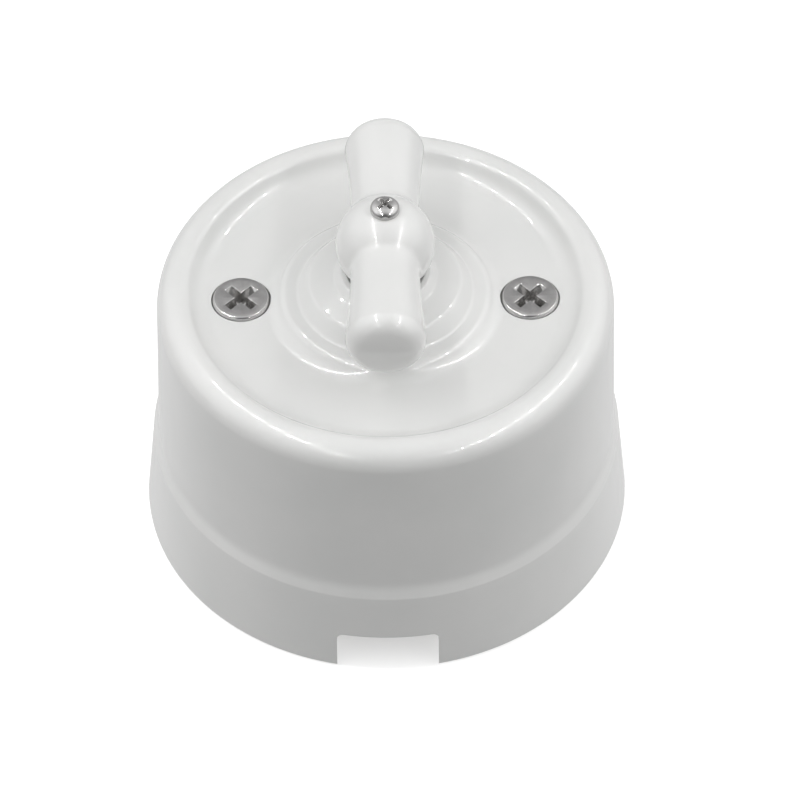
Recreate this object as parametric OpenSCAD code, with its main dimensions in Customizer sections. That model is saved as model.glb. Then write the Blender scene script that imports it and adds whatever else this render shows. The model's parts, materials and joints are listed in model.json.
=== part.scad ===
// Surface-mounted porcelain rotary switch for a wall, in millimetres.
// The origin is the centre of the wall-side face and +Z points out of the wall.
// The cable enters through the notch on the -Y side. The knob's bar lies along Y at rest.

/* [Cover] */
// Radius of the cover where it meets the wall
cover_r = 35.5; // [35:0.1:36]
// Radius of the crest where the flared foot meets the drum
foot_top_r = 34.2; // [34:0.1:34.6]
// Radius of the drum just under its rounded rim
drum_top_r = 32.8; // [32.7:0.1:33]
// Radius at which the drum would meet the flare above the foot
drum_waist_r = 33.45; // [33.2:0.05:33.7]
// Height of the rim's crest above the wall
rim_z = 42.9; // [42.4:0.1:43]
// Height of the recessed top face above the wall
floor_z = 40.5; // [40.3:0.1:40.6]
// Radius at which the recessed top face would meet the rim if its foot weren't rounded
recess_r = 26.6; // [26.4:0.1:26.8]
// Rounding radius of the rim's outer edge
rim_round = 2.8; // [2.4:0.1:2.9]
// Height of the flared foot round the bottom
band_z = 14; // [13.5:0.5:15]
// Width of the cable notch
notch_w = 14.7; // [13:0.1:15]
// Height of the cable notch
notch_h = 6.4; // [5.5:0.1:7]

/* [Boss] */
// Radius of the lower ring round the knob
boss_r = 14.8; // [14.7:0.1:15]
// Radius of the upper ring
boss_upper_r = 10.9; // [10.6:0.1:11.1]
// Radius of the lip under the hub
lip_r = 6.5; // [6.4:0.1:6.8]
// Height of the lip above the wall
lip_z = 46.6; // [46.4:0.1:46.7]

/* [Knob] */
// Height of the bar's axis above the wall
knob_z = 52; // [51.8:0.1:52.4]
// Length of the bar from end to end
knob_len = 42.8; // [36:0.1:44]
// Radius of the round hub
hub_r = 7.1; // [7:0.1:7.3]
// Radius of the bar beside the hub
bar_r = 4.9; // [4.7:0.1:5]
// Radius of the bar near its ends
bar_end_r = 5.7; // [5.2:0.1:5.7]
// Rounding radius of the bar's ends
end_round = 2.8; // [1:0.1:3]

/* [Fasteners] */
// Distance between the two cover screws
screw_span = 41.5; // [41:0.1:42]
// Radius of a cover screw's head
screw_head_r = 4.2; // [4:0.1:4.3]
// Height of the flat top of a cover screw's head
screw_top_z = 41; // [40.9:0.1:41.2]
// Radius of a cover screw's thread
screw_r = 2; // [1.9:0.1:2]
// Radius of the knob screw's head
knob_screw_head_r = 2.1; // [2:0.1:2.2]
// Height of the knob screw's head
knob_screw_head_h = 1.5; // [1.3:0.1:1.6]
// Diameter of the circle of the two wall screws
wall_pcd = 49; // [48:1:50]
// Radius of the holes for the wall screws
wall_hole_r = 2; // [1.7:0.1:2.2]

/* [Mechanism] */
// Radius of the mechanism's case
case_r = 15.5; // [15.2:0.1:15.5]
// Radius of the cavity in the case
cavity_r = 11.5; // [11.3:0.1:11.7]
// Thickness of the base disc
base_t = 5; // [5:0.1:5.2]
// Radius of the spindle
spindle_r = 3; // [2.9:0.1:3]
// Side of the spindle's square stretches
square_w = 4.2; // [4:0.1:4.2]
// Distance across the flats of the index cam
cam_flats = 11.4; // [11:0.1:11.4]
// Width of a terminal block
block_w = 7; // [6.5:0.1:7]

/* [Hidden] */
$fn = 64;
cut = 0.5;                          // how far a cutting solid runs past a face
run = 0.04;                         // radial clearance of a running fit
slip = 0.05;                        // clearance of a part that slides on at assembly
wall_t = 5;                         // cover wall at the band
cavity_wall_t = 4.4;                // cover wall along the drum
ceiling_z = 35.8;                   // underside of the cover's top
base_r = cover_r - wall_t - 0.5;
bore_r = spindle_r + 0.6;           // hole for the spindle through the cover
seat_z = 44.6;                      // floor of the bowl in the boss
neck_r = 4.3;
neck_z = 44.9;
square_top_z = 54;                  // top end of the spindle
knob_seat_z = 58.8;                 // spot face under the knob screw
knob_screw_r = 0.95;
post_w = 7;                         // threaded post, across its flats
post_head_r = 3.6;
case_floor_z = base_t + 2.5;
lid_z = 23;                         // underside of the mechanism lid
lid_t = 2.5;
bush_top_z = 30;
journal_r = 2;
shoulder_z = case_floor_z + 0.5;
rotor_z = 10;
plate_z = 13;
plate_t = 1;
cam_z = 17.5;
cam_t = 4;
strip_z = 15;
strip_t = 0.4;
strip_w = 4;
tip_r = 1.1;
side_x = 7.3;                       // rear terminals stand at plus and minus this X
side_tip_y = 5.2;
line_tip_y = -5.6;
block_d = 6.5;
shelf_t = 3;
block_z = base_t + shelf_t;
block_h = strip_z - block_z;
front_block_y = -(case_r + 0.1 + block_d / 2);
rear_block_y = case_r + 0.1 + block_d / 2;
wire_r = 1.7;
wire_z = block_z + 2.8;
clamp_r = 1.25;
lid_screw_ring = 13.5;
lid_screw_angles = [25, 155, 205, 335];
TERMINALS = [[0, front_block_y], [side_x, rear_block_y], [-side_x, rear_block_y]];
TIPS = [[0, line_tip_y], [side_x, side_tip_y], [-side_x, side_tip_y]];

// Points of an arc from angle a0 to a1 round the centre c
function arc(c, r, a0, a1, n = 8) =
    [for (i = [0:n]) let (a = a0 + (a1 - a0) * i / n) c + r * [cos(a), sin(a)]];

// Points that round the corner at b, between a and c, with radius r
function round_corner(a, b, c, r, n = 6) =
    let (u = (a - b) / norm(a - b), v = (c - b) / norm(c - b),
        half = acos(u * v) / 2,
        centre = b + (u + v) / norm(u + v) * r / sin(half),
        start = b + u * r / tan(half) - centre,
        turn = (2 * half - 180) * sign(cross(u, v)))
    [for (i = [0:n]) let (t = turn * i / n)
        centre + [start[0] * cos(t) - start[1] * sin(t), start[0] * sin(t) + start[1] * cos(t)]];

// An outline through corners [radius, height, rounding], each rounded by its own radius
function rounded(corners) =
    let (n = len(corners), at = [for (c = corners) [c[0], c[1]]])
    [for (i = [0:n - 1]) each corners[i][2] == 0 ? [at[i]]
        : round_corner(at[(i + n - 1) % n], at[i], at[(i + 1) % n], corners[i][2])];

// Points of a bulging quarter ellipse that leaves p along Z and reaches q along the radius
function dome(p, q, n = 8) =
    [for (i = [1:n]) let (a = 90 * i / n)
        [p[0] + (q[0] - p[0]) * (1 - cos(a)), p[1] + (q[1] - p[1]) * sin(a)]];

module glazed() { color([0.93, 0.93, 0.92]) children(); }
module phenolic() { color([0.17, 0.12, 0.1]) children(); }
module brass() { color([0.8, 0.65, 0.3]) children(); }
module steel() { color([0.7, 0.71, 0.72]) children(); }

module at_screws() {
    for (side = [-1, 1])
        translate([side * screw_span / 2, 0, 0]) children();
}

module at_case_screws() {
    for (side = [-1, 1])
        translate([side * lid_screw_ring, 0, 0]) children();
}

module at_lid_screws() {
    for (a = lid_screw_angles)
        rotate(a) translate([lid_screw_ring, 0, 0]) children();
}

module tube(outer, inner, z0, z1) {
    translate([0, 0, z0]) difference() {
        cylinder(r = outer, h = z1 - z0);
        translate([0, 0, -cut]) cylinder(r = inner, h = z1 - z0 + 2 * cut);
    }
}

module rod(r, z0, z1) {
    translate([0, 0, z0]) cylinder(r = r, h = z1 - z0);
}

module square_bar(w, z0, z1) {
    translate([-w / 2, -w / 2, z0]) cube([w, w, z1 - z0]);
}

// Cross recess of a screw whose head ends at z
module cross_recess(z, width, depth) {
    for (a = [45, 135])
        rotate(a) translate([-width / 2, -width / 9, z - depth])
            cube([width, width / 4.5, depth + cut]);
}

// The boss from its foot to its bowl
boss_corners = [
    [boss_r + 1.4, floor_z, 3.1],
    [boss_r, floor_z + 1.7, 1.6],
    [boss_upper_r + 1.7, floor_z + 1.9, 1],
    [boss_upper_r, seat_z, 1.2],
    [lip_r + 0.9, seat_z + 0.9, 0.8],
    [lip_r, lip_z, 0.5],
    [lip_r - 1, lip_z, 0.4],
    [lip_r - 1.2, seat_z, 0.3]];

// The rim from the drum to the recessed face
rim_corners = [
    [drum_top_r, rim_z, rim_round],
    [recess_r + 2, rim_z, 2.7],
    [recess_r, floor_z, 3.8]];

module cover_body() {
    rotate_extrude($fn = 96) polygon(rounded(concat(
        [[0, 0, 0], [cover_r, 0, 0], [foot_top_r, band_z, 4], [drum_waist_r, band_z + 2.5, 16]],
        rim_corners, boss_corners, [[0, seat_z, 0]])));
}

module cover_cavity() {
    inner = drum_waist_r - cavity_wall_t;
    rotate_extrude($fn = 96) polygon(rounded([
        [0, -cut, 0], [cover_r - wall_t, -cut, 0], [cover_r - wall_t, band_z - 2, 0],
        [inner, band_z, 0], [inner, ceiling_z, 2], [0, ceiling_z, 0]]));
}

module cable_notch() {
    corner = 1;
    translate([-notch_w / 2, -cover_r - cut, -cut])
        cube([notch_w, wall_t + 2, notch_h - corner + cut]);
    translate([corner - notch_w / 2, -cover_r - cut, -cut])
        cube([notch_w - 2 * corner, wall_t + 2, notch_h + cut]);
    for (side = [-1, 1])
        translate([side * (notch_w / 2 - corner), -cover_r - cut, notch_h - corner])
            rotate([-90, 0, 0]) cylinder(r = corner, h = wall_t + 2);
}

module porcelain_cover() {
    sink = screw_head_r + 0.15;
    glazed() difference() {
        cover_body();
        cover_cavity();
        cable_notch();
        rod(bore_r, ceiling_z - cut, seat_z + cut);
        at_screws() {
            rod(screw_r + 0.2, ceiling_z - cut, floor_z);
            translate([0, 0, floor_z - sink + screw_r + 0.2])
                cylinder(r1 = screw_r + 0.2, r2 = sink, h = sink - screw_r - 0.2);
            rod(sink, floor_z - 0.01, floor_z + cut);
        }
    }
}

module base_disc() {
    slot_y = -22.6;
    glazed() difference() {
        rotate_extrude($fn = 96)
            polygon([[0, 0], [base_r, 0], [base_r, base_t - 0.6], [base_r - 0.6, base_t], [0, base_t]]);
        translate([-notch_w / 2, -base_r - cut, -cut])
            cube([notch_w, base_r + cut + slot_y, base_t + 2 * cut]);
        for (a = [45, 225])
            rotate(a) translate([wall_pcd / 2, 0, 0]) {
                rod(wall_hole_r, -cut, base_t + cut);
                translate([0, 0, base_t - 1.8]) cylinder(r1 = wall_hole_r, r2 = wall_hole_r + 1.8, h = 1.8);
            }
        at_screws() {
            rod(screw_r + 0.2, -cut, base_t + cut);
            rod(post_head_r + 0.4, -cut, 2.9);
        }
        at_case_screws() {
            rod(1.4, -cut, base_t + cut);
            rod(2.8, -cut, 2.2);
        }
        rod(journal_r + 0.6, base_t - 1, base_t + cut);
    }
}

module threaded_posts() {
    brass() at_screws() difference() {
        translate([0, 0, base_t])
            cylinder(r = post_w / 2 / cos(30), h = ceiling_z - base_t, $fn = 6);
        rod(screw_r + slip, ceiling_z - 12, ceiling_z + cut);
        rod(screw_r + slip, base_t - cut, base_t + 8);
    }
}

module post_screws() {
    steel() at_screws() difference() {
        union() {
            rod(screw_r, 2.5, base_t + 7);
            rod(post_head_r, 0.4, 2.9);
        }
        translate([-post_head_r - cut, -0.5, 0]) cube([2 * (post_head_r + cut), 1, 1.3]);
    }
}

module mechanism_case() {
    phenolic() difference() {
        union() {
            rod(case_r, base_t, lid_z);
            for (t = TERMINALS)
                translate([t[0] - block_w / 2, t[1] > 0 ? 12 : t[1] - block_d / 2, base_t])
                    cube([block_w, abs(t[1]) + block_d / 2 - 12, shelf_t]);
        }
        rod(cavity_r, case_floor_z, lid_z + cut);
        rod(journal_r + run, base_t - cut, case_floor_z + cut);
        for (i = [0:2]) {
            slot_len = case_r + cut - side_tip_y;
            y = TERMINALS[i][1] > 0 ? side_tip_y : -case_r - cut;
            translate([TIPS[i][0] - strip_w / 2 - 0.2, y, strip_z - 0.1])
                cube([strip_w + 0.4, slot_len, lid_z]);
        }
        for (side = [-1, 1])
            translate([side * (cam_flats / 2 + 0.2) - 0.4, -cavity_r + 0.5, cam_z])
                cube([0.8, 2 * cavity_r - 1, lid_z]);
        at_lid_screws() rod(1.05, lid_z - 8, lid_z + cut);
        at_case_screws() rod(1.25, base_t - cut, base_t + 8);
    }
}

module mechanism_lid() {
    phenolic() difference() {
        rod(case_r, lid_z, lid_z + lid_t);
        rod(spindle_r + 1, lid_z - cut, lid_z + lid_t + cut);
        at_lid_screws() rod(1.1, lid_z - cut, lid_z + lid_t + cut);
    }
}

module lid_screws() {
    top = lid_z + lid_t;
    steel() at_lid_screws() difference() {
        union() {
            rod(1, lid_z - 6, top + 0.2);
            rod(1.9, top, top + 1.3);
        }
        translate([-2.5, -0.25, top + 0.6]) cube([5, 0.5, 2]);
    }
}

module case_screws() {
    steel() at_case_screws() difference() {
        union() {
            rod(1.2, 1.5, base_t + 7);
            rod(2.4, 0.4, 2.2);
        }
        translate([-3, -0.3, 0]) cube([6, 0.6, 1.1]);
    }
}

module spindle_bush() {
    flange_z = lid_z + lid_t;
    brass() difference() {
        union() {
            rod(spindle_r + 1, lid_z, flange_z + 0.5);
            rod(spindle_r + 3, flange_z, flange_z + 1.5);
            rod(spindle_r + 1.6, flange_z + 1, bush_top_z);
        }
        rod(spindle_r + run, lid_z - cut, bush_top_z + cut);
    }
}

module thrust_washer() {
    color([0.55, 0.3, 0.2]) tube(5, journal_r + 0.2, case_floor_z, shoulder_z - slip);
}

module terminal_block(i) {
    brass() translate([TERMINALS[i][0], TERMINALS[i][1], 0]) difference() {
        translate([-block_w / 2, -block_d / 2, block_z]) cube([block_w, block_d, block_h]);
        translate([0, -block_d / 2 - cut, wire_z]) rotate([-90, 0, 0])
            cylinder(r = wire_r, h = block_d + 2 * cut);
        rod(clamp_r + slip, wire_z, strip_z + cut);
    }
}

module terminal_line() { terminal_block(0); }
module terminal_one() { terminal_block(1); }
module terminal_two() { terminal_block(2); }

module terminal_screws() {
    top = strip_z + strip_t;
    steel() for (t = TERMINALS) translate([t[0], t[1], 0]) difference() {
        union() {
            rod(clamp_r, wire_z + wire_r, top + 0.2);
            rod(2.6, top, top + 1.7);
        }
        translate([-3, -0.4, top + 0.8]) cube([6, 0.8, 2]);
    }
}

// A flat spring strip from its terminal block to its contact tip
module contact_strip(i) {
    t = TERMINALS[i];
    tip = TIPS[i];
    over = 1.5;
    y0 = min(t[1] - block_d / 2, tip[1] - over);
    y1 = max(t[1] + block_d / 2, tip[1] + over);
    color([0.75, 0.5, 0.32]) difference() {
        translate([t[0] - strip_w / 2, y0, strip_z]) cube([strip_w, y1 - y0, strip_t]);
        translate([tip[0], tip[1], 0]) rod(0.6, strip_z - cut, strip_z + strip_t + cut);
        translate([t[0], t[1], 0]) rod(clamp_r + slip, strip_z - cut, strip_z + strip_t + cut);
    }
}

module contact_line() { contact_strip(0); }
module contact_one() { contact_strip(1); }
module contact_two() { contact_strip(2); }

module fixed_tips() {
    plate_top = plate_z + plate_t;
    color([0.85, 0.85, 0.86]) for (tip = TIPS) translate([tip[0], tip[1], 0]) {
        rod(tip_r, plate_top + slip, strip_z);
        rod(0.6, strip_z - 0.1, strip_z + strip_t + 0.1);
        rod(0.9, strip_z + strip_t, strip_z + strip_t + 0.4);
    }
}

module index_springs() {
    steel() for (side = [-1, 1])
        translate([side * (cam_flats / 2 + 0.2) - 0.17, -cavity_r + 0.7, cam_z + 0.3])
            cube([0.34, 2 * cavity_r - 1.4, cam_t - 0.6]);
}

module cover_screw(side) {
    edge_z = screw_top_z - 0.55;
    cone_h = screw_head_r - screw_r;
    steel() translate([side * screw_span / 2, 0, 0]) difference() {
        rotate_extrude() polygon(concat(
            [[0, ceiling_z - 10], [screw_r - 0.5, ceiling_z - 10], [screw_r, ceiling_z - 9.5],
                [screw_r, edge_z - cone_h], [screw_head_r, edge_z]],
            arc([screw_head_r - 0.5, screw_top_z - 0.5], 0.5, 0, 90, 5),
            [[0, screw_top_z]]));
        cross_recess(screw_top_z, 5.2, 1.6);
    }
}

module cover_screw_left() { cover_screw(-1); }
module cover_screw_right() { cover_screw(1); }

// Half of the bar's outline, from the middle of the hub to the end
function bar_half() =
    let (end = knob_len / 2)
    concat(
        [[bar_r, hub_r - 1]],
        [[bar_end_r, end - end_round - 1.5]],
        arc([bar_end_r - end_round, end - end_round], end_round, 0, 75, 6),
        [[0, end]]);

module knob() {
    half = bar_half();
    back = [for (i = [len(half) - 1:-1:0]) [half[i][0], -half[i][1]]];
    glazed() difference() {
        union() {
            translate([0, 0, knob_z]) {
                rotate([90, 0, 0]) rotate_extrude($fn = 72) polygon(concat(back, half));
                sphere(r = hub_r, $fn = 72);
            }
            rod(neck_r, neck_z, knob_z - 3);
        }
        square_bar(square_w + 2 * slip, neck_z - cut, square_top_z + 0.2);
        rod(knob_screw_r + 0.2, square_top_z, knob_seat_z + cut);
        rod(knob_screw_head_r + 0.1, knob_seat_z, knob_seat_z + 3);
    }
}

module knob_screw() {
    top = knob_seat_z + knob_screw_head_h;
    shoulder = knob_seat_z + 0.6;
    steel() difference() {
        rotate_extrude() polygon(concat(
            [[0, square_top_z - 4], [knob_screw_r, square_top_z - 3.4], [knob_screw_r, knob_seat_z],
                [knob_screw_head_r, knob_seat_z], [knob_screw_head_r, shoulder]],
            dome([knob_screw_head_r, shoulder], [0, top])));
        cross_recess(top, 2.2, 0.9);
    }
}

module spindle() {
    steel() difference() {
        union() {
            rod(journal_r, base_t - 0.7, shoulder_z + 0.1);
            square_bar(square_w, shoulder_z, lid_z);
            rod(spindle_r, lid_z - 0.4, neck_z - 0.2);
            square_bar(square_w, neck_z - 1, square_top_z);
        }
        rod(knob_screw_r + slip, square_top_z - 5, square_top_z + cut);
        tube(4, 1.7, rotor_z - 0.62, rotor_z);
    }
}

module spindle_clip() {
    steel() difference() {
        tube(3.8, 1.75, rotor_z - 0.58, rotor_z - 0.04);
        translate([0, -1.5, rotor_z - 1]) cube([5, 3, 2]);
    }
}

module rotor_part(r, z0, z1) {
    difference() {
        rod(r, z0, z1);
        square_bar(square_w + 2 * run, z0 - cut, z1 + cut);
    }
}

module rotor_disc() {
    phenolic() rotor_part(10.4, rotor_z, plate_z);
}

// A ring that always meets the line tip, with two lobes that meet one side tip at a time
module moving_contact() {
    lobe = 30;
    lobe_r = 10.2;
    reach = 14;
    brass() difference() {
        union() {
            rod(6.8, plate_z, plate_z + plate_t);
            for (turn = [0, 180])
                rotate(atan2(side_tip_y, side_x) + turn) intersection() {
                    rod(lobe_r, plate_z, plate_z + plate_t);
                    translate([0, 0, plate_z]) linear_extrude(plate_t)
                        polygon([[0, 0], reach * [cos(lobe), -sin(lobe)], reach * [cos(lobe), sin(lobe)]]);
                }
        }
        square_bar(square_w + 2 * run, plate_z - cut, plate_z + plate_t + cut);
    }
}

module rotor_spacer() {
    phenolic() rotor_part(4, plate_z + plate_t, cam_z);
}

module index_cam() {
    steel() intersection() {
        rotor_part(cam_flats * 0.65, cam_z, cam_z + cam_t);
        square_bar(cam_flats, cam_z - cut, cam_z + cam_t + cut);
    }
}

porcelain_cover();
base_disc();
threaded_posts();
post_screws();
mechanism_case();
mechanism_lid();
lid_screws();
case_screws();
spindle_bush();
thrust_washer();
terminal_line();
terminal_one();
terminal_two();
terminal_screws();
contact_line();
contact_one();
contact_two();
fixed_tips();
index_springs();
cover_screw_left();
cover_screw_right();
knob();
knob_screw();
spindle();
spindle_clip();
rotor_disc();
moving_contact();
rotor_spacer();
index_cam();
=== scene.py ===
"""Looks of the porcelain rotary switch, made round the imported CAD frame.

Sizes of the switch are in millimetres, and MM turns them into Blender's metres.
"""
import json
import math

import bmesh
import bpy
from mathutils import Matrix, Vector


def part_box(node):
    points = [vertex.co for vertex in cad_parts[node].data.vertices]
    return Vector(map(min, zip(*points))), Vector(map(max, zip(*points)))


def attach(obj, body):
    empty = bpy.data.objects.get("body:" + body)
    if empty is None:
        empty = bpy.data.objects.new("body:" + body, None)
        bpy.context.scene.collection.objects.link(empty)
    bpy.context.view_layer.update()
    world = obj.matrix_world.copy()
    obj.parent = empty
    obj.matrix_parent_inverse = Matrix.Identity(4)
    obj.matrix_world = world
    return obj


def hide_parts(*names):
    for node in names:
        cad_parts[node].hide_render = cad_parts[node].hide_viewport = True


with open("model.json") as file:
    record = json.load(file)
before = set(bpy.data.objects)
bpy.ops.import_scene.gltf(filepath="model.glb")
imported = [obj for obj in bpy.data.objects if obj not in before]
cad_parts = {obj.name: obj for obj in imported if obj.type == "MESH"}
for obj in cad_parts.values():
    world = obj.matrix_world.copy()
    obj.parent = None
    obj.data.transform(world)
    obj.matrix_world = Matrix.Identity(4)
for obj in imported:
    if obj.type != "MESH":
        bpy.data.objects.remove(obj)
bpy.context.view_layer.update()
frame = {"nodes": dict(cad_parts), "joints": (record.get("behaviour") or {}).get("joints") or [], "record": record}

MM = 0.001
SCENE = bpy.context.scene


# ---------------------------------------------------------------- sizes from the frame

def radius_of(node):
    low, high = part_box(node)
    return (high.x - low.x) / 2 / MM


def top_of(node):
    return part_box(node)[1].z / MM


def centre_of(node):
    low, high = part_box(node)
    return (low + high) / 2


COVER_R = radius_of("porcelain_cover")
LIP_Z = top_of("porcelain_cover")
HUB_R = radius_of("knob")
KNOB_Z = frame["joints"][0]["pos_m"][2] / MM


# ---------------------------------------------------------------- outlines

def arc(centre, radius, start, end, count=8):
    """Points of an arc from angle start to angle end, in degrees."""
    steps = [math.radians(start + (end - start) * i / count) for i in range(count + 1)]
    return [(centre[0] + radius * math.cos(a), centre[1] + radius * math.sin(a)) for a in steps]


def rounded(corners, pitch=0.8):
    """A closed outline through corners (radius, height, rounding), sampled closely all along."""
    out = []
    for i, (x, y, r) in enumerate(corners):
        before, after = Vector(corners[i - 1][:2]), Vector(corners[(i + 1) % len(corners)][:2])
        here = Vector((x, y))
        u, v = (before - here).normalized(), (after - here).normalized()
        half = u.angle(v) / 2
        if r <= 0 or half > math.radians(89.5):
            arc_points = [here]
        else:
            centre = here + (u + v).normalized() * r / math.sin(half)
            start = here + u * r / math.tan(half) - centre
            end = here + v * r / math.tan(half) - centre
            sweep = start.angle_signed(end)
            count = max(3, math.ceil(abs(math.degrees(sweep)) / 7))
            arc_points = [centre + Matrix.Rotation(-sweep * k / count, 2) @ start
                          for k in range(count + 1)]
        if out:
            gap = (arc_points[0] - out[-1]).length
            count = max(1, round(gap / pitch))
            out += [out[-1].lerp(arc_points[0], k / count) for k in range(1, count)]
        out += arc_points
    return [tuple(p) for p in out]


def spline(points, pitch=0.35):
    """A clamped cubic B-spline that the points pull into shape, sampled about every pitch."""
    knots = [points[0]] * 2 + list(points) + [points[-1]] * 2
    out = []
    for i in range(len(knots) - 3):
        a, b, c, d = knots[i:i + 4]
        span = math.dist(b, c) + 1e-9
        count = max(1, round(span / pitch))
        for s in range(count):
            t = s / count
            w = ((1 - t) ** 3 / 6, (3 * t ** 3 - 6 * t ** 2 + 4) / 6,
                 (-3 * t ** 3 + 3 * t ** 2 + 3 * t + 1) / 6, t ** 3 / 6)
            out.append(tuple(sum(k * p[j] for k, p in zip(w, (a, b, c, d))) for j in (0, 1)))
    out.append(tuple(points[-1]))
    clean = [out[0]]
    for p in out[1:]:
        if math.dist(p, clean[-1]) > 0.02:
            clean.append(p)
    return clean


# ---------------------------------------------------------------- meshes

def new_object(name, bm):
    bmesh.ops.recalc_face_normals(bm, faces=bm.faces)
    mesh = bpy.data.meshes.new(name)
    bm.to_mesh(mesh)
    bm.free()
    obj = bpy.data.objects.new(name, mesh)
    SCENE.collection.objects.link(obj)
    return obj


def lathe(name, outline, segments=128, closed=False):
    """Turns an outline of (radius, height) points round Z. A closed outline makes a ring."""
    bm = bmesh.new()
    rings = []
    for r, z in outline:
        if r < 1e-6:
            rings.append([bm.verts.new((0, 0, z * MM))])
        else:
            turn = [2 * math.pi * i / segments for i in range(segments)]
            rings.append([bm.verts.new((r * MM * math.cos(a), r * MM * math.sin(a), z * MM))
                          for a in turn])
    pairs = list(zip(rings, rings[1:]))
    if closed:
        pairs.append((rings[-1], rings[0]))
    for low, high in pairs:
        for i in range(segments):
            j = (i + 1) % segments
            corners = [low[i % len(low)], low[j % len(low)],
                       high[j % len(high)], high[i % len(high)]]
            corners = [v for k, v in enumerate(corners) if v not in corners[:k]]
            if len(corners) > 2:
                bm.faces.new(corners)
    return new_object(name, bm)


def block(name, low, high):
    """A box between two corners, in millimetres."""
    bm = bmesh.new()
    bmesh.ops.create_cube(bm, size=1)
    size = Vector(high) - Vector(low)
    middle = (Vector(high) + Vector(low)) / 2
    for v in bm.verts:
        v.co = Vector((v.co[i] * size[i] + middle[i]) * MM for i in range(3))
    return new_object(name, bm)


def rod(name, r, low, high, segments=48):
    """A round bar along Z, in millimetres."""
    return lathe(name, [(0, low), (r, low), (r, high), (0, high)], segments)


def bake_modifiers(obj):
    graph = bpy.context.evaluated_depsgraph_get()
    graph.update()
    mesh = bpy.data.meshes.new_from_object(obj.evaluated_get(graph))
    obj.modifiers.clear()
    obj.data = mesh


def combine(obj, tools, operation="DIFFERENCE"):
    for tool in tools:
        mod = obj.modifiers.new(operation, "BOOLEAN")
        mod.operation = operation
        mod.solver = "EXACT"
        mod.object = tool
    bake_modifiers(obj)
    for tool in tools:
        bpy.data.objects.remove(tool)


def soften(obj, width_mm, where, angle=40, segments=3):
    """Rounds the edges sharper than angle (degrees) whose middle passes the test where."""
    bm = bmesh.new()
    bm.from_mesh(obj.data)
    bmesh.ops.remove_doubles(bm, verts=bm.verts, dist=1e-6)
    bmesh.ops.dissolve_degenerate(bm, edges=bm.edges, dist=1e-6)
    edges = []
    for e in bm.edges:
        if len(e.link_faces) != 2 or e.calc_face_angle(0) < math.radians(angle):
            continue
        middle = (e.verts[0].co + e.verts[1].co) / 2
        if where(middle):
            edges.append(e)
    bmesh.ops.bevel(bm, geom=edges, offset=width_mm * MM, segments=segments, profile=0.5,
                    affect="EDGES", clamp_overlap=True)
    bm.to_mesh(obj.data)
    bm.free()


def shade(obj, angle):
    """Smooth shading with the edges over angle (degrees) kept sharp."""
    obj.data.shade_smooth()
    obj.data.set_sharp_from_angle(angle=math.radians(angle))


# ---------------------------------------------------------------- materials

def material(name):
    mat = bpy.data.materials.new(name)
    mat.use_nodes = True
    tree = mat.node_tree
    return mat, tree, tree.nodes["Principled BSDF"]


def add(tree, kind, **values):
    n = tree.nodes.new(kind)
    for key, value in values.items():
        if hasattr(n, key):
            setattr(n, key, value)
        else:
            n.inputs[key.replace("_", " ")].default_value = value
    return n


def object_noise(tree, scale, detail):
    coord = add(tree, "ShaderNodeTexCoord")
    noise = add(tree, "ShaderNodeTexNoise", Scale=scale, Detail=detail)
    tree.links.new(coord.outputs["Object"], noise.inputs["Vector"])
    return noise


def colour_mix(tree, factor, low, high):
    ramp = add(tree, "ShaderNodeValToRGB")
    ramp.color_ramp.elements[0].position = 0.3
    ramp.color_ramp.elements[0].color = (*low, 1)
    ramp.color_ramp.elements[1].position = 0.7
    ramp.color_ramp.elements[1].color = (*high, 1)
    tree.links.new(factor, ramp.inputs["Fac"])
    return ramp.outputs["Color"]


def bump(tree, height, strength, distance_mm, normal=None):
    n = add(tree, "ShaderNodeBump", Strength=strength, Distance=distance_mm * MM)
    tree.links.new(height, n.inputs["Height"])
    if normal is not None:
        tree.links.new(normal, n.inputs["Normal"])
    return n.outputs["Normal"]


def glaze_material():
    """White porcelain under a clear glaze that pools in soft waves."""
    mat, tree, bsdf = material("glazed_porcelain")
    cloud = object_noise(tree, scale=60, detail=4)
    tree.links.new(colour_mix(tree, cloud.outputs["Fac"], (0.72, 0.725, 0.715), (0.76, 0.76, 0.75)),
                   bsdf.inputs["Base Color"])
    waves = object_noise(tree, scale=90, detail=1)
    pores = object_noise(tree, scale=1400, detail=2)
    normal = bump(tree, waves.outputs["Fac"], strength=0.35, distance_mm=0.05)
    normal = bump(tree, pores.outputs["Fac"], strength=0.05, distance_mm=0.01, normal=normal)
    tree.links.new(normal, bsdf.inputs["Normal"])
    tree.links.new(normal, bsdf.inputs["Coat Normal"])
    bsdf.inputs["Roughness"].default_value = 0.3
    bsdf.inputs["IOR"].default_value = 1.5
    bsdf.inputs["Coat Weight"].default_value = 1.0
    bsdf.inputs["Coat Roughness"].default_value = 0.05
    bsdf.inputs["Coat IOR"].default_value = 1.5
    return mat


def metal_material(name, dark, pale, roughness, scale=700, relief=0.15):
    """Plated or turned metal with small stains and a faintly uneven face."""
    mat, tree, bsdf = material(name)
    stain = object_noise(tree, scale, detail=5)
    tree.links.new(colour_mix(tree, stain.outputs["Fac"], dark, pale), bsdf.inputs["Base Color"])
    normal = bump(tree, stain.outputs["Fac"], strength=relief, distance_mm=0.02)
    tree.links.new(normal, bsdf.inputs["Normal"])
    bsdf.inputs["Metallic"].default_value = 1.0
    bsdf.inputs["Roughness"].default_value = roughness
    return mat


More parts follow.
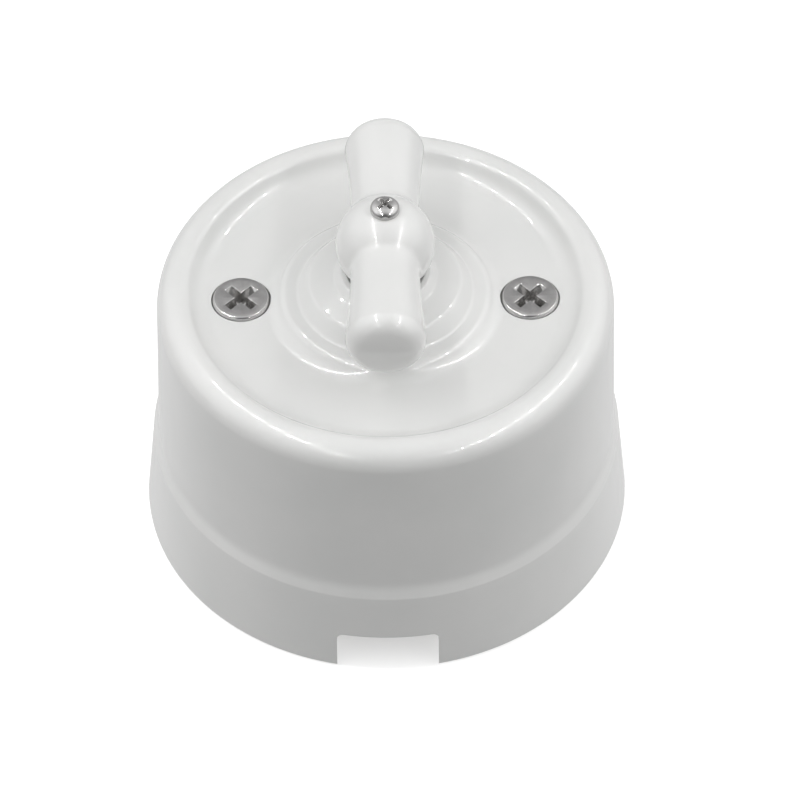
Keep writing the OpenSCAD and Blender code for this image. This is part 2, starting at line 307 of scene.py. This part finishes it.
def moulded_material(name, dark, pale, roughness, scale, relief, gloss=0.0):
    """Pressed or fired body with clouded colour and a grainy face."""
    mat, tree, bsdf = material(name)
    cloud = object_noise(tree, scale, detail=6)
    grain = object_noise(tree, scale=2500, detail=3)
    tree.links.new(colour_mix(tree, cloud.outputs["Fac"], dark, pale), bsdf.inputs["Base Color"])
    normal = bump(tree, cloud.outputs["Fac"], strength=relief, distance_mm=0.05)
    normal = bump(tree, grain.outputs["Fac"], strength=relief, distance_mm=0.02, normal=normal)
    tree.links.new(normal, bsdf.inputs["Normal"])
    bsdf.inputs["Roughness"].default_value = roughness
    bsdf.inputs["Coat Weight"].default_value = gloss
    bsdf.inputs["Coat Roughness"].default_value = 0.2
    return mat


def floor_material():
    mat, _, bsdf = material("studio_floor")
    bsdf.inputs["Base Color"].default_value = (0.95, 0.95, 0.95, 1)
    bsdf.inputs["Roughness"].default_value = 0.9
    bsdf.inputs["Specular IOR Level"].default_value = 0.1
    return mat


MATERIALS = {
    "glazed_porcelain": glaze_material(),
    "base_porcelain": moulded_material("base_porcelain", (0.66, 0.63, 0.57), (0.76, 0.74, 0.69),
                                       roughness=0.7, scale=120, relief=0.35),
    "nickel_plate": metal_material("nickel_plate", (0.50, 0.495, 0.49), (0.60, 0.595, 0.59),
                                   roughness=0.14),
    "zinc_steel": metal_material("zinc_steel", (0.42, 0.44, 0.47), (0.60, 0.61, 0.63),
                                 roughness=0.34, scale=400, relief=0.25),
    "spring_steel": metal_material("spring_steel", (0.16, 0.17, 0.20), (0.30, 0.31, 0.34),
                                   roughness=0.3, scale=250),
    "brass": metal_material("brass", (0.60, 0.42, 0.15), (0.78, 0.58, 0.26),
                            roughness=0.27, scale=350, relief=0.2),
    "spring_bronze": metal_material("spring_bronze", (0.48, 0.24, 0.12), (0.66, 0.38, 0.21),
                                    roughness=0.3, scale=300),
    "silver": metal_material("silver", (0.70, 0.69, 0.66), (0.86, 0.86, 0.84),
                             roughness=0.22, scale=500),
    "phenolic": moulded_material("phenolic", (0.022, 0.013, 0.009), (0.05, 0.03, 0.02),
                                 roughness=0.38, scale=180, relief=0.2, gloss=0.3),
    "fibre": moulded_material("fibre", (0.20, 0.055, 0.035), (0.32, 0.11, 0.07),
                              roughness=0.8, scale=700, relief=0.6),
}


def finish_piece(obj, slot, body, node, angle):
    """Gives a mesh its material and shading, and puts it on its body in the CAD node's place."""
    obj.data.materials.clear()
    obj.data.materials.append(MATERIALS[slot])
    shade(obj, angle)
    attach(obj, body)
    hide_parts(node)


# ---------------------------------------------------------------- porcelain cover

FLOOR_Z = 40.5
RIM_Z = 42.9
RECESS_R = 26.6
DRUM_TOP_R = 32.8
BAND_Z = 14.0
WAIST_R = 33.45
FOOT_TOP_R = 34.2
BOSS_R = 14.8
BOSS_UPPER_R = 10.9
LIP_R = 6.5
SEAT_Z = 44.6
BORE_R = 3.6
CEILING_Z = 35.8
CAVITY_R = 29.05
BAND_WALL = 5.0
NOTCH_W = 14.7
NOTCH_H = 6.4
NOTCH_DEPTH = 7.0
NOTCH_INNER_Y = -29
NOTCH_CORNER_R = 1.0
NOTCH_EDGE_R = 0.3
SINK_R = 4.3
SINK_HOLE_R = 2.2
SINK_FOOT_Z = 35
SINK_TOP_Z = 42
SINK_EDGE_R = 0.15


def cover_outline():
    """Corners are (radius, height, rounding), from the wall up the outside and down the inside."""
    drum = [(COVER_R, 0, 0.4), (FOOT_TOP_R, BAND_Z, 1.0), (WAIST_R, BAND_Z + 1.8, 4.5)]
    rim = [(DRUM_TOP_R, RIM_Z, 3.4), (RECESS_R + 2, RIM_Z, 1.8), (RECESS_R, FLOOR_Z, 3.8)]
    boss = [(BOSS_R + 1.4, FLOOR_Z, 3.1), (BOSS_R, FLOOR_Z + 1.7, 1.6),
            (BOSS_UPPER_R + 1.7, FLOOR_Z + 1.9, 1.0), (BOSS_UPPER_R, SEAT_Z, 1.2)]
    lip = [(LIP_R + 0.9, SEAT_Z + 0.9, 0.8), (LIP_R, LIP_Z, 0.5),
           (LIP_R - 1, LIP_Z, 0.4), (LIP_R - 1.2, SEAT_Z, 0.3)]
    bore = [(BORE_R, SEAT_Z, 0.3), (BORE_R, CEILING_Z, 0.3)]
    cavity = [(CAVITY_R, CEILING_Z, 2), (CAVITY_R, BAND_Z, 0.5),
              (COVER_R - BAND_WALL, BAND_Z - 2, 0.5), (COVER_R - BAND_WALL, 0, 0.3)]
    return rounded(drum + rim + boss + lip + bore + cavity)


def make_cover():
    cover = lathe("cover_shell", cover_outline(), segments=240, closed=True)
    half = NOTCH_W / 2
    notch = block("notch", (-half, -COVER_R - 2, -1), (half, -COVER_R + NOTCH_DEPTH, NOTCH_H))
    soften(notch, NOTCH_CORNER_R, segments=6,
           where=lambda p: p.z > NOTCH_H / 2 * MM and abs(abs(p.x) - half * MM) < 1e-6)
    tools = [notch]
    for node in ("cover_screw_left", "cover_screw_right"):
        x = centre_of(node).x / MM
        sink = lathe("sink", [(0, SINK_FOOT_Z), (SINK_HOLE_R, SINK_FOOT_Z),
                              (SINK_HOLE_R, FLOOR_Z - 2.8), (SINK_R, FLOOR_Z - 0.6),
                              (SINK_R, SINK_TOP_Z), (0, SINK_TOP_Z)], 96)
        sink.data.transform(Matrix.Translation((x * MM, 0, 0)))
        tools.append(sink)
    combine(cover, tools)
    soften(cover, NOTCH_EDGE_R, angle=50,
           where=lambda p: p.y < NOTCH_INNER_Y * MM and abs(p.x) < (half + 0.2) * MM
           and p.z < (NOTCH_H + 0.3) * MM)
    soften(cover, SINK_EDGE_R, angle=50, where=lambda p: abs(p.z - FLOOR_Z * MM) < 1e-5)
    finish_piece(cover, "glazed_porcelain", "root", "porcelain_cover", angle=30)


# ---------------------------------------------------------------- knob

BAR_R = 4.9
BAR_END_R = 5.7
BAR_FILLET = ((0.12, 0.42), (0, 0.95), (0, 2.2))
BAR_SWELL = ((0.15, 10.5), (0.35, 13.5))
END_ROUND = 2.8
END_DOME = 0.25
NECK_R = 4.3
NECK_FOOT_Z = 44.9
NECK_TOP_Z = KNOB_Z - 3
SQUARE_HALF = 2.15
SQUARE_FOOT_Z = 44
SQUARE_TOP_Z = 54.2
SCREW_HOLE_R = 1.15
SCREW_HOLE_FOOT_Z = 54
SCREW_HOLE_TOP_Z = 59
SEAT_R = 2.2
SEAT_TOP_Z = 62


def bar_half_outline(end):
    """The hub's ball, the small fillet where the bar leaves it, and the bar to its rounded end.

    Points are (radius about the bar's axis, distance from the hub's centre). The fillet's are
    counted from where the ball ends, and the swell's thicken the bar towards its end.
    """
    leave = math.degrees(math.acos(BAR_R / HUB_R))
    ball = arc((0, 0), HUB_R, 0, leave - 4, 14)
    bar = [(BAR_R + more, ball[-1][1] + along) for more, along in BAR_FILLET]
    bar += [(BAR_R + more, along) for more, along in BAR_SWELL]
    bar.append((BAR_END_R, end - END_ROUND))
    cap = arc((BAR_END_R - END_ROUND, end - END_ROUND - END_DOME), END_ROUND, 0, 82, 12)
    cap += [(BAR_END_R - END_ROUND - 0.4, end - 0.08), (0, end)]
    return ball + bar + cap


def make_knob():
    low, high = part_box("knob")
    half = bar_half_outline((high.y - low.y) / 2 / MM)
    back = [(r, -z) for r, z in reversed(half[1:])]
    knob = lathe("knob_body", back + half, segments=128)
    lie_along_y = Matrix.Rotation(math.pi / 2, 4, "X")
    knob.data.transform(Matrix.Translation((0, 0, KNOB_Z * MM)) @ lie_along_y)
    combine(knob, [rod("neck", NECK_R, NECK_FOOT_Z, NECK_TOP_Z, segments=64)], "UNION")
    seat_z = top_of("knob_screw") - SCREW_HEAD_H
    socket = block("socket", (-SQUARE_HALF, -SQUARE_HALF, SQUARE_FOOT_Z),
                   (SQUARE_HALF, SQUARE_HALF, SQUARE_TOP_Z))
    clear = rod("clear", SCREW_HOLE_R, SCREW_HOLE_FOOT_Z, SCREW_HOLE_TOP_Z)
    combine(knob, [socket, clear, rod("seat", SEAT_R, seat_z, SEAT_TOP_Z)])
    finish_piece(knob, "glazed_porcelain", "rotor", "knob", angle=35)


# ---------------------------------------------------------------- screws

# A cross recess is its length, its depth and the width of its arms.
SCREW_HEAD_H = 1.5
COVER_CROSS = (5.3, 2.2, 1.3)
COVER_CROSS_EDGE_R = 0.13
COVER_SHANK_R = 2
COVER_HEAD_EDGE = 0.75
KNOB_CROSS = (2.7, 0.9, 0.62)
KNOB_CROSS_EDGE_R = 0.07
KNOB_SHANK_R = 0.95


def cross_cutters(top, length, depth, arm):
    """Two wedge cutters that make a cross-shaped recess, at its full size at the height top."""
    cutters = []
    for turn in (45, 135):
        bm = bmesh.new()
        turned = Matrix.Rotation(math.radians(turn), 3, "Z")
        rings = []
        for z, part in ((top + 0.5, 1 + 0.25 / depth), (top, 1), (top - depth, 0.5)):
            half_l, half_w = length / 2 * part, arm / 2 * part
            rings.append([
                bm.verts.new(turned @ Vector((sx * half_l * MM, sy * half_w * MM, z * MM)))
                for sx, sy in ((-1, -1), (1, -1), (1, 1), (-1, 1))])
        bm.faces.new(rings[0])
        bm.faces.new(rings[-1][::-1])
        for upper, lower in zip(rings, rings[1:]):
            for i in range(4):
                j = (i + 1) % 4
                bm.faces.new((upper[i], lower[i], lower[j], upper[j]))
        cutters.append(new_object("cross", bm))
    return cutters


def make_cover_screw(node):
    low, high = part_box(node)
    head_r = radius_of(node)
    top, foot = high.z / MM, low.z / MM
    edge = top - COVER_HEAD_EDGE
    outline = [(0, foot), (COVER_SHANK_R - 0.5, foot), (COVER_SHANK_R, foot + 0.5),
               (COVER_SHANK_R, edge - 2.2), (head_r - 0.03, edge - 0.06)]
    outline += [(head_r, edge), (head_r - 0.05, edge + 0.3), (head_r - 0.24, top - 0.12),
                (head_r - 0.31, top - 0.03), (head_r - 0.42, top), (3.2, top), (0, top)]
    screw = lathe(node + "_body", outline, 96)
    combine(screw, cross_cutters(top, *COVER_CROSS))
    soften(screw, COVER_CROSS_EDGE_R, angle=30,
           where=lambda p: p.z > (top - 0.02) * MM and p.xy.length < 3.4 * MM)
    screw.data.transform(Matrix.Translation((centre_of(node).x, 0, 0)))
    finish_piece(screw, "nickel_plate", "root", node, angle=40)


def make_knob_screw():
    low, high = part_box("knob_screw")
    head_r = radius_of("knob_screw")
    top, foot = high.z / MM, low.z / MM
    seat = top - SCREW_HEAD_H
    outline = [(0, foot), (KNOB_SHANK_R, foot + 0.5), (KNOB_SHANK_R, seat), (head_r - 0.05, seat)]
    outline += spline([(head_r, seat + 0.05), (head_r, seat + 0.65), (head_r - 0.2, seat + 1.05),
                       (head_r - 0.75, top - 0.1), (head_r - 1.3, top), (0.2, top), (0, top)], 0.12)
    screw = lathe("knob_screw_body", outline, 72)
    combine(screw, cross_cutters(top, *KNOB_CROSS))
    soften(screw, KNOB_CROSS_EDGE_R, angle=30, segments=2,
           where=lambda p: p.z > (top - 0.4) * MM and p.xy.length < 1.6 * MM)
    finish_piece(screw, "nickel_plate", "rotor", "knob_screw", angle=40)


make_cover()
make_knob()
make_cover_screw("cover_screw_left")
make_cover_screw("cover_screw_right")
make_knob_screw()

# Every CAD node takes a material: the hidden mechanism is shown by the CAD's own shapes.
for subpart in frame["record"]["subparts"]:
    node = frame["nodes"][subpart["node"]]
    node.data.materials.clear()
    node.data.materials.append(MATERIALS[subpart["material_slot"]])


# ---------------------------------------------------------------- studio

# Lengths are in metres and an area lamp's power in watts. The rows of lamps are placed by
# multiples of their height over the wall.
FLOOR_SIZE = 4
FLOOR_FLAT = 1.2
FLOOR_RISE = 0.08
FLOOR_GAP = 0.0002
FLOOR_LAMP = 1.4
SHADOW_LAMP = 0.6
SHADOW_BLUR = math.radians(6)
SHADOW_FROM = (-0.14, 0.08, 1)


def light_only(light, stage, state):
    """Keeps a light on the stage alone (INCLUDE) or off it (EXCLUDE)."""
    group = bpy.data.collections.new("light_group")
    group.objects.link(stage)
    group.collection_objects[0].light_linking.link_state = state
    light.light_linking.receiver_collection = group


def make_floor():
    """A pale floor, flat round the switch and rising far out, so that a low view has no horizon.

    It throws no light and no reflection on the switch, and has two suns of its own, one of
    which lets the switch cast a shadow.
    """
    bm = bmesh.new()
    bmesh.ops.create_grid(bm, x_segments=80, y_segments=80, size=FLOOR_SIZE)
    for v in bm.verts:
        v.co.z = FLOOR_RISE * max(v.co.xy.length - FLOOR_FLAT, 0) ** 2 - FLOOR_GAP
    obj = new_object("studio_floor", bm)
    obj.data.materials.append(floor_material())
    obj.visible_diffuse = False
    obj.visible_glossy = False
    obj.visible_shadow = False
    for name, energy, shadow in (("floor_lamp", FLOOR_LAMP, False),
                                 ("shadow_lamp", SHADOW_LAMP, True)):
        data = bpy.data.lights.new(name, "SUN")
        data.energy = energy
        data.angle = SHADOW_BLUR
        data.use_shadow = shadow
        lamp = bpy.data.objects.new(name, data)
        lamp.rotation_euler = Vector(SHADOW_FROM).to_track_quat("Z", "Y").to_euler()
        SCENE.collection.objects.link(lamp)
        light_only(lamp, obj, "INCLUDE")
    return obj


AIR = 0.09
AIR_BACK = 0.30
AIR_SIDE = 0.46
AIR_PANELS = 1.1
AIR_TOP = 0.81
AIR_DARK = -1.4
AIR_BELOW = 0.15
AIR_BOUNCE = 0.6
GLOW_SIZE = 1.5
GLOW_POWER = 1.0


def make_world():
    """Soft light all round, from plain functions of direction.

    It is strong above and high at both sides, stronger behind than in front, darker half way up
    in front and behind, and weak below.
    """
    world = bpy.data.worlds.new("studio_air")
    world.use_nodes = True
    tree = world.node_tree
    coord = add(tree, "ShaderNodeTexCoord")
    split = add(tree, "ShaderNodeSeparateXYZ")
    tree.links.new(coord.outputs["Generated"], split.inputs[0])
    x, y, z = (split.outputs[axis] for axis in "XYZ")

    def math_node(operation, *values):
        node = add(tree, "ShaderNodeMath", operation=operation)
        for socket, value in zip(node.inputs, values):
            if isinstance(value, (int, float)):
                socket.default_value = value
            else:
                tree.links.new(value, socket)
        return node.outputs[0]

    above = math_node("MAXIMUM", z, 0)
    below = math_node("MAXIMUM", math_node("MULTIPLY", z, -1), 0)
    sideways = math_node("MULTIPLY", x, x)
    behind = math_node("MAXIMUM", y, 0)
    light = math_node("MULTIPLY_ADD", behind, AIR_BACK, AIR)
    light = math_node("MULTIPLY_ADD", sideways, AIR_SIDE, light)
    light = math_node("MULTIPLY_ADD", math_node("MULTIPLY", sideways, above), AIR_PANELS, light)
    light = math_node("MULTIPLY_ADD", math_node("SQRT", above), AIR_TOP, light)
    lengthways = math_node("MULTIPLY", y, y)
    light = math_node("MULTIPLY_ADD", math_node("MULTIPLY", lengthways, above), AIR_DARK, light)
    light = math_node("MULTIPLY_ADD", below, AIR_BELOW, light)
    light = math_node("MULTIPLY_ADD", math_node("MULTIPLY", below, behind), AIR_BOUNCE, light)
    background = tree.nodes["Background"]
    tree.links.new(light, background.inputs["Strength"])
    background.inputs["Color"].default_value = (1, 1, 1, 1)
    SCENE.world = world


LAMP_HEIGHT = 0.6
LAMP_SIDES = (-0.42, 0.70)
LAMP_FRONT = -1.25
LAMP_BACK = 0.45
LAMP_COUNT = 12
LAMP_SIZE = 0.016
LAMP_POWER = 0.15
STRIP_WIDTH = 0.05
STRIP_POWER = 0.85


def add_lamp(name, place, power, shape, size, size_y=None):
    """An area light at place, which faces straight down until it is turned."""
    light = bpy.data.lights.new(name, "AREA")
    light.shape = shape
    light.size = size
    if size_y is not None:
        light.size_y = size_y
    light.energy = power
    obj = bpy.data.objects.new(name, light)
    obj.location = place
    SCENE.collection.objects.link(obj)
    return obj


def make_lamps(floor):
    """Two rows of small lamps, left and right, whose dots show in the glaze, and a glow from below.

    The small lamps only make reflections. The strip that lies over each row, and the glow, give
    diffuse light and no reflection. None of them lights the floor.
    """
    glow = add_lamp("floor_glow", Vector((0, 0, -0.1)), GLOW_POWER, "SQUARE", GLOW_SIZE)
    glow.rotation_euler = (math.pi, 0, 0)
    glow.visible_glossy = False
    light_only(glow, floor, "EXCLUDE")
    for side in LAMP_SIDES:
        middle = Vector((side, (LAMP_FRONT + LAMP_BACK) / 2, 1)) * LAMP_HEIGHT
        strip = add_lamp("lamp_strip", middle, STRIP_POWER, "RECTANGLE",
                         STRIP_WIDTH, (LAMP_BACK - LAMP_FRONT) * LAMP_HEIGHT)
        strip.rotation_euler = (0, math.atan(side), 0)
        strip.visible_glossy = False
        light_only(strip, floor, "EXCLUDE")
        for i in range(LAMP_COUNT):
            y = LAMP_FRONT + (LAMP_BACK - LAMP_FRONT) * i / (LAMP_COUNT - 1)
            place = Vector((side, y, 1)) * LAMP_HEIGHT
            lamp = add_lamp("lamp", place, LAMP_POWER, "DISK", LAMP_SIZE)
            lamp.rotation_mode = "QUATERNION"
            lamp.rotation_quaternion = lamp.location.to_track_quat("Z", "Y")
            lamp.visible_diffuse = False
            light_only(lamp, floor, "EXCLUDE")


CAMERA_ELEVATION = math.radians(47.95)
CAMERA_ROLL = math.radians(-0.4)
CAMERA_DISTANCE = 0.8
CAMERA_LENS = 245.9
CAMERA_SENSOR = 36
CAMERA_TARGET = Vector((0, 0, 0.020))
CAMERA_SIDE = 0.00202
CAMERA_DROP = 0.00081


def make_camera():
    data = bpy.data.cameras.new("camera")
    data.lens = CAMERA_LENS
    data.sensor_width = CAMERA_SENSOR
    cam = bpy.data.objects.new("camera", data)
    SCENE.collection.objects.link(cam)
    back = Vector((0, -math.cos(CAMERA_ELEVATION), math.sin(CAMERA_ELEVATION)))
    flat_right = Vector((1, 0, 0))
    flat_up = back.cross(flat_right)
    right = flat_right * math.cos(CAMERA_ROLL) + flat_up * math.sin(CAMERA_ROLL)
    up = back.cross(right)
    place = CAMERA_TARGET + back * CAMERA_DISTANCE
    aim = CAMERA_TARGET + right * CAMERA_SIDE - up * CAMERA_DROP
    back = (place - aim).normalized()
    right = up.cross(back).normalized()
    up = back.cross(right)
    turn = Matrix((right, up, back)).transposed()
    cam.matrix_world = Matrix.Translation(place) @ turn.to_4x4()
    SCENE.camera = cam


make_world()
make_lamps(make_floor())
make_camera()
SCENE.view_settings.view_transform = "Standard"
